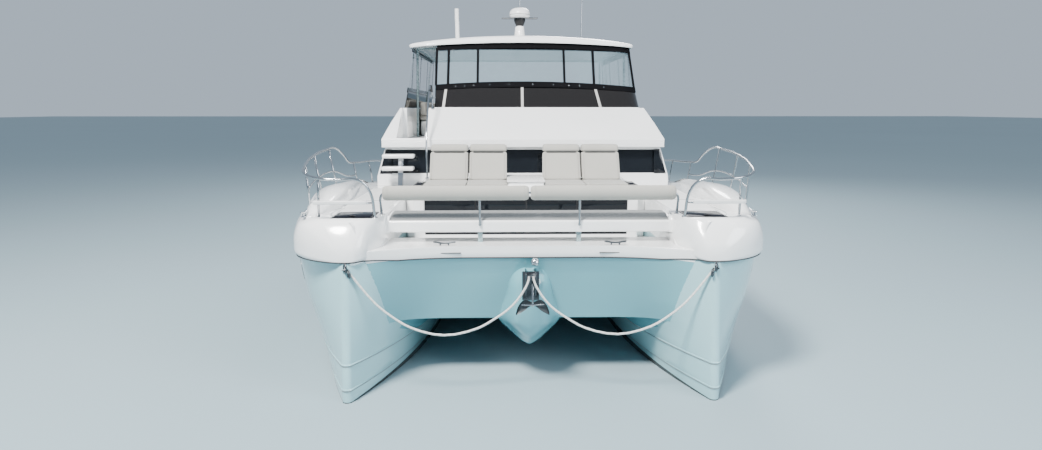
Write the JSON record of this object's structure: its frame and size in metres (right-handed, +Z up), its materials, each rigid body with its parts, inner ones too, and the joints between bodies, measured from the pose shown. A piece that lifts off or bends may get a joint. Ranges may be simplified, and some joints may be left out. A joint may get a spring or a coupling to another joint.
{
  "type": "power catamaran",
  "caption": "Flybridge power catamaran with twin hulls, foredeck lounge, enclosed flybridge under a hardtop, cockpit, rudders and propellers.",
  "frame": {"origin": "on the centreline at the waterline, amidships", "axes": "+Y aft along the boat, +X to port, +Z up; the bows point along -Y"},
  "size_m": [6.598, 13.33, 8.3579],
  "materials": {
    "hull_gelcoat": "gloss",
    "gelcoat": "satin gloss",
    "engine_paint": "satin",
    "dark_acrylic": "gloss",
    "bronze": "satin",
    "antifouling": "matt",
    "stainless": "polished",
    "cushion": "woven",
    "rope": "braided",
    "tinted_glass": "dark tint",
    "galvanised": "satin",
    "black_canvas": "woven",
    "clear_vinyl": "clear",
    "black_plastic": "satin"
  },
  "bodies": {
    "boat": {"hull_starboard": "hull_gelcoat", "engine_starboard": "engine_paint", "deck_starboard": "gelcoat", "bow_rail_starboard": "stainless", "bolster_starboard": "cushion", "seat_pad_starboard": "cushion", "backrest_inner_starboard": "cushion", "backrest_outer_starboard": "cushion", "bridle_starboard": "rope", "hull_port": "hull_gelcoat", "engine_port": "engine_paint", "deck_port": "gelcoat", "bow_rail_port": "stainless", "bolster_port": "cushion", "seat_pad_port": "cushion", "backrest_inner_port": "cushion", "backrest_outer_port": "cushion", "bridle_port": "rope", "bridgedeck": "gelcoat", "foredeck": "gelcoat", "bench": "gelcoat", "front_rail": "stainless", "trunk": "gelcoat", "trunk_glass": "tinted_glass", "anchor_roller": "stainless", "anchor": "galvanised", "house_front": "gelcoat", "house_aft": "gelcoat", "front_glass": "tinted_glass", "aft_glass": "tinted_glass", "house_side_starboard": "gelcoat", "side_glass_starboard": "tinted_glass", "house_side_port": "gelcoat", "side_glass_port": "tinted_glass", "fore_stair": "gelcoat", "stair_rail": "stainless", "fly_deck": "gelcoat", "fly_coaming": "gelcoat", "windscreen_front": "tinted_glass", "windscreen_starboard": "tinted_glass", "curtain_front": "clear_vinyl", "curtain_starboard": "clear_vinyl", "curtain_frame": "black_canvas", "hardtop": "gelcoat", "hardtop_frame": "stainless", "mast": "gelcoat", "helm_console": "gelcoat", "helm_seat": "cushion", "fly_lounge": "cushion", "cockpit": "gelcoat", "cockpit_seat": "cushion", "aft_stair": "gelcoat"},
    "bow_hatch_port": {"bow_hatch_port": "dark_acrylic"},
    "bow_hatch_starboard": {"bow_hatch_starboard": "dark_acrylic"},
    "helm_wheel": {"helm_wheel": "black_plastic"},
    "propeller_port": {"propeller_port": "bronze"},
    "propeller_starboard": {"propeller_starboard": "bronze"},
    "rudder_port": {"rudder_port": "antifouling"},
    "rudder_starboard": {"rudder_starboard": "antifouling"},
    "saloon_door": {"saloon_door": "tinted_glass"}
  },
  "joints": [
    {"name": "propeller_starboard_spin", "type": "hinge", "parent": "boat", "child": "propeller_starboard", "pos_m": [-2.3, 4.64, -0.73], "axis": [0, 1, 0], "continuous": true},
    {"name": "rudder_starboard_steer", "type": "hinge", "parent": "boat", "child": "rudder_starboard", "pos_m": [-2.3, 5.15, -0.5], "axis": [0, 0, 1], "range_deg": [-35, 35]},
    {"name": "bow_hatch_starboard_lift", "type": "hinge", "parent": "boat", "child": "bow_hatch_starboard", "pos_m": [-2.54, -5.755, 2.25], "axis": [0, -1, 0], "range_deg": [0, 80]},
    {"name": "propeller_port_spin", "type": "hinge", "parent": "boat", "child": "propeller_port", "pos_m": [2.3, 4.64, -0.73], "axis": [0, 1, 0], "continuous": true},
    {"name": "rudder_port_steer", "type": "hinge", "parent": "boat", "child": "rudder_port", "pos_m": [2.3, 5.15, -0.5], "axis": [0, 0, 1], "range_deg": [-35, 35]},
    {"name": "bow_hatch_port_lift", "type": "hinge", "parent": "boat", "child": "bow_hatch_port", "pos_m": [2.54, -5.755, 2.25], "axis": [0, 1, 0], "range_deg": [0, 80]},
    {"name": "saloon_door_slide", "type": "slide", "parent": "boat", "child": "saloon_door", "axis": [1, 0, 0], "range_m": [0, 0.9]},
    {"name": "helm_wheel_turn", "type": "hinge", "parent": "boat", "child": "helm_wheel", "pos_m": [0.8, -0.64, 3.84], "axis": [0, 0.9063, 0.4226], "range_deg": [-350, 350]}
  ],
  "couplings": [
    {"joint": "rudder_starboard_steer", "follows": "helm_wheel_turn", "ratio": 0.1},
    {"joint": "rudder_port_steer", "follows": "helm_wheel_turn", "ratio": 0.1}
  ]
}
